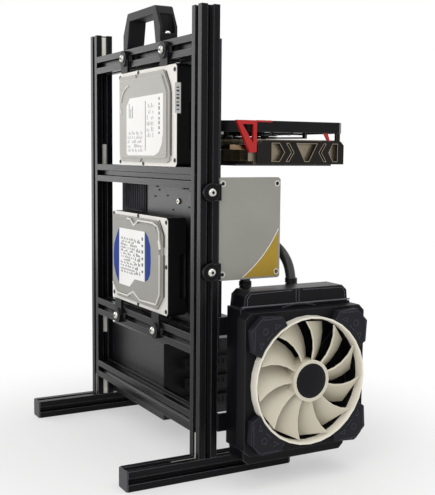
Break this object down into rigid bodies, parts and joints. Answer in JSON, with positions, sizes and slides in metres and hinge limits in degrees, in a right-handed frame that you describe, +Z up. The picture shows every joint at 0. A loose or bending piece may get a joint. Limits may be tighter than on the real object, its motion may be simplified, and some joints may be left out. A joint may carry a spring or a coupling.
{
  "type": "open air test bench",
  "caption": "Upright open test bench of slotted black profile with a carrying handle, bolted drives, main board, graphics card, power supply and a liquid cooler whose fan faces out",
  "frame": {"origin": "middle of the box round the whole bench, on the surface the feet stand on", "axes": "+Z up along the uprights, +X towards the cooler's fan, +Y towards the graphics card, -Y towards the drives' covers"},
  "size_m": [0.344, 0.246, 0.4705],
  "materials": {
    "black_profile": "black anodised, satin, fine brushed along the length",
    "black_cap": "moulded black plastic, fine texture",
    "zinc_steel": "zinc plated, dull",
    "bright_screw": "stainless pan head, bright",
    "black_bracket": "black powder coat",
    "drive_casting": "cast aluminium, dark e-coat with a bare rim",
    "drive_cover": "pressed aluminium cover, satin",
    "circuit_board": "black solder mask",
    "ssd_shell": "bead blasted aluminium, warm grey",
    "radiator_black": "black paint, satin",
    "radiator_fin": "black painted fins",
    "fan_black": "black glass-filled plastic",
    "fan_cream": "cream plastic, semi-gloss",
    "black_rubber": "soft black rubber, matt",
    "pump_black": "black plastic, semi-gloss",
    "socket_black": "black moulded connector plastic",
    "port_steel": "tinned sheet steel",
    "heatsink_dark": "dark anodised aluminium",
    "module_black": "black heat spreader",
    "fin_silver": "bare aluminium fins",
    "pipe_copper": "plated copper heat pipe",
    "card_black": "black plastic shroud, semi-gloss",
    "card_plate": "dark plate with bare chevron edges",
    "trim_red": "red plastic trim, gloss",
    "supply_black": "black powder coat, fine texture"
  },
  "bodies": {
    "bench": {"upright_near": "black_profile", "upright_far": "black_profile", "rail_top": "black_profile", "rail_drive": "black_profile", "rail_board": "black_profile", "rail_bottom": "black_profile", "foot_near": "black_profile", "foot_far": "black_profile", "foot_end_caps": "black_cap", "corner_connectors": "zinc_steel", "carry_handle": "black_cap", "upper_drive_brackets": "black_bracket", "lower_drive_brackets": "black_bracket", "ssd_brackets": "black_bracket", "slot_nuts": "zinc_steel", "bracket_screws": "bright_screw", "upper_drive_base": "drive_casting", "upper_drive_cover": "drive_cover", "lower_drive_base": "drive_casting", "lower_drive_cover": "drive_cover", "drive_boards": "circuit_board", "ssd_base": "ssd_shell", "ssd_cover": "ssd_shell", "small_screws": "bright_screw", "radiator_frame": "radiator_black", "radiator_core": "radiator_fin", "mount_brackets": "black_bracket", "fan_frame": "fan_black", "fan_ring": "fan_cream", "fan_corner_pads": "black_rubber", "hose_left": "black_rubber", "hose_right": "black_rubber", "hose_fittings": "socket_black", "pump_head": "pump_black", "pump_base": "zinc_steel", "motherboard": "circuit_board", "cpu_backplate": "zinc_steel", "board_standoffs": "zinc_steel", "io_block": "port_steel", "memory_sockets": "socket_black", "memory_modules": "module_black", "expansion_sockets": "socket_black", "board_heatsinks": "heatsink_dark", "board_sockets": "socket_black", "gpu_board": "circuit_board", "gpu_fin_stack": "fin_silver", "gpu_heat_pipes": "pipe_copper", "gpu_shroud": "card_black", "gpu_end_plate": "card_plate", "gpu_trim": "trim_red", "gpu_bracket": "port_steel", "psu_case": "supply_black", "psu_cover": "supply_black", "psu_fan_frame": "fan_black", "psu_sockets": "socket_black"},
    "cooler_rotor": {"fan_rotor": "fan_cream"},
    "card_rotor_near": {"gpu_fan_near": "fan_black"},
    "card_rotor_far": {"gpu_fan_far": "fan_black"},
    "supply_rotor": {"psu_fan": "fan_black"},
    "supply_switch": {"psu_switch": "socket_black"}
  },
  "joints": [
    {"name": "cooler_fan_spin", "type": "hinge", "parent": "bench", "child": "cooler_rotor", "pos_m": [0.147, 0.0475, 0.1005], "axis": [1, 0, 0], "continuous": true},
    {"name": "card_fan_near_spin", "type": "hinge", "parent": "bench", "child": "card_rotor_near", "pos_m": [0.063, 0.0575, 0.3345], "axis": [0, 0, 1], "continuous": true},
    {"name": "card_fan_far_spin", "type": "hinge", "parent": "bench", "child": "card_rotor_far", "pos_m": [-0.033, 0.0575, 0.3345], "axis": [0, 0, 1], "continuous": true},
    {"name": "supply_fan_spin", "type": "hinge", "parent": "bench", "child": "supply_rotor", "pos_m": [-0.08, 0.048, 0.084], "axis": [0, 0, 1], "continuous": true},
    {"name": "supply_switch_rock", "type": "hinge", "parent": "bench", "child": "supply_switch", "pos_m": [-0.151, 0.081, 0.044], "axis": [0, 1, 0], "range_deg": [0, 16]}
  ]
}
